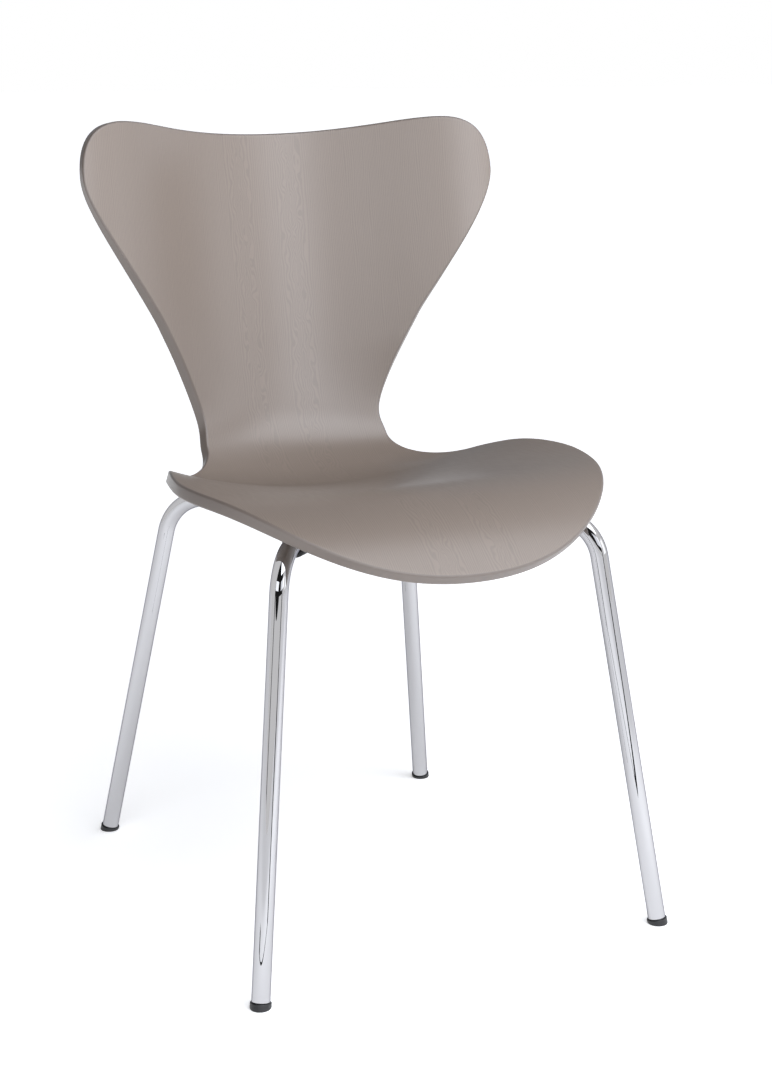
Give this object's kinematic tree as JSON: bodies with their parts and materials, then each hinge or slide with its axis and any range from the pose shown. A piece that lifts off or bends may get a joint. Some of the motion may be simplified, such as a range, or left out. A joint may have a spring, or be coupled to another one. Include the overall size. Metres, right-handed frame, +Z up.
{
  "type": "stacking chair",
  "caption": "Stacking side chair: one-piece moulded plywood shell with a narrow waist and rounded wings, on splayed bent chromed tube legs with black foot caps.",
  "frame": {"origin": "on the floor, under the centre of the chair's bounding box", "axes": "+Z up; the sitter faces -Y, so the backrest is on the +Y side; +X is the sitter's left"},
  "size_m": [0.4724, 0.5362, 0.8002],
  "materials": {
    "painted_plywood": "satin taupe-grey open-pore lacquer over veneer, fine grain along the sheet",
    "chromed_tube": "polished chrome plating on round steel tube",
    "zinc_steel": "zinc-plated steel",
    "foot_plastic": "black moulded polyamide",
    "cover_plastic": "black fine-textured moulded plastic",
    "spacer_rubber": "matt black rubber",
    "insert_brass": "machined brass"
  },
  "bodies": {
    "root": {"plywood_shell": "painted_plywood", "mounting_plate": "zinc_steel", "leg_hub": "zinc_steel", "centre_cover": "cover_plastic", "cover_screw": "zinc_steel", "leg_tube_front_right": "chromed_tube", "foot_cap_front_right": "foot_plastic", "spacer_front_right": "spacer_rubber", "leg_tube_front_left": "chromed_tube", "foot_cap_front_left": "foot_plastic", "spacer_front_left": "spacer_rubber", "leg_tube_rear_right": "chromed_tube", "foot_cap_rear_right": "foot_plastic", "spacer_rear_right": "spacer_rubber", "leg_tube_rear_left": "chromed_tube", "foot_cap_rear_left": "foot_plastic", "spacer_rear_left": "spacer_rubber", "seat_screw_front": "zinc_steel", "washer_front": "zinc_steel", "threaded_insert_front": "insert_brass", "seat_screw_rear": "zinc_steel", "washer_rear": "zinc_steel", "threaded_insert_rear": "insert_brass", "seat_screw_left": "zinc_steel", "washer_left": "zinc_steel", "threaded_insert_left": "insert_brass", "seat_screw_right": "zinc_steel", "washer_right": "zinc_steel", "threaded_insert_right": "insert_brass"}
  },
  "joints": []
}
